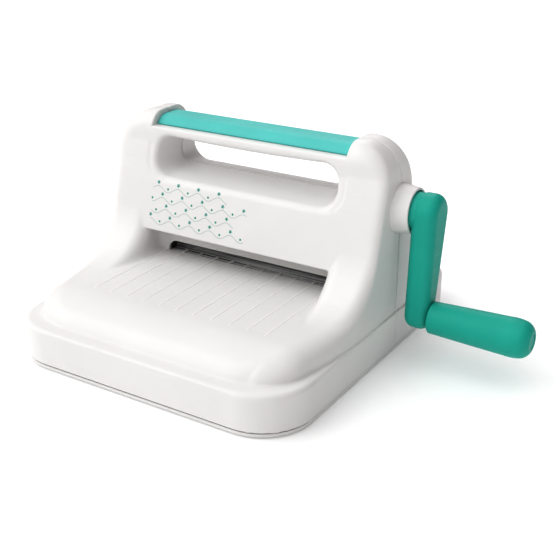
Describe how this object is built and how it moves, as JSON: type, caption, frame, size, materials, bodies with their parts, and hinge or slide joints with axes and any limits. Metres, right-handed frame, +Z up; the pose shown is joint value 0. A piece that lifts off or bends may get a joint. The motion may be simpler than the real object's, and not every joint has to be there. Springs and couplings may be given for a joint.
{
  "type": "die cutting and embossing machine",
  "caption": "Table-top hand-cranked roller press for die cutting and embossing card: moulded housing with feed tables, carrying handle, geared steel rollers and a side crank.",
  "frame": {"origin": "on the surface the feet stand on, below the middle of the overall box, crank and knob included", "axes": "+X towards the crank side and along the roller axes, +Y from the feed side to the exit side, +Z up"},
  "size_m": [0.388, 0.312, 0.1805],
  "materials": {
    "white_plastic": "satin moulded ABS",
    "teal_plastic": "satin moulded plastic",
    "teal_grip": "soft-touch moulding",
    "rubber": "matt",
    "roller_steel": "ground",
    "frame_steel": "zinc plated",
    "screw_steel": "plated",
    "gear_steel": "machined, greased",
    "bush_bronze": "sintered bronze"
  },
  "bodies": {
    "base": {"front_shell": "white_plastic", "rear_shell": "white_plastic", "base_plate": "white_plastic", "feet": "rubber", "base_screws": "screw_steel", "seam_screws": "screw_steel", "handle_grip": "teal_grip", "left_side_plate": "frame_steel", "right_side_plate": "frame_steel", "frame_screws": "screw_steel", "tie_bars": "frame_steel", "front_guide": "frame_steel", "rear_guide": "frame_steel", "roller_bushes": "bush_bronze", "crank_bush": "bush_bronze", "crank_collar": "white_plastic", "collar_bush": "bush_bronze"},
    "upper_roller": {"upper_roller": "roller_steel", "upper_clips": "screw_steel", "drive_gear": "gear_steel", "upper_sync_gear": "gear_steel"},
    "lower_roller": {"lower_roller": "roller_steel", "lower_clips": "screw_steel", "lower_sync_gear": "gear_steel"},
    "crank": {"crank_shaft": "roller_steel", "crank_clip": "screw_steel", "crank_pinion": "gear_steel", "crank_arm": "teal_plastic", "knob_spindle": "roller_steel"},
    "knob": {"crank_knob": "teal_plastic", "knob_cap": "teal_plastic"}
  },
  "joints": [
    {"name": "crank_turn", "type": "hinge", "parent": "base", "child": "crank", "pos_m": [0.081, 0.027, 0.127], "axis": [1, 0, 0], "continuous": true},
    {"name": "upper_roller_spin", "type": "hinge", "parent": "base", "child": "upper_roller", "pos_m": [-0.059, 0.027, 0.079], "axis": [1, 0, 0], "continuous": true},
    {"name": "lower_roller_spin", "type": "hinge", "parent": "base", "child": "lower_roller", "pos_m": [-0.059, 0.027, 0.04], "axis": [1, 0, 0], "continuous": true},
    {"name": "knob_spin", "type": "hinge", "parent": "crank", "child": "knob", "pos_m": [0.141, 0.01749, 0.04354], "axis": [1, 0, 0], "continuous": true}
  ],
  "couplings": [
    {"joint": "upper_roller_spin", "follows": "crank_turn", "ratio": -0.33333},
    {"joint": "lower_roller_spin", "follows": "crank_turn", "ratio": 0.33333}
  ]
}
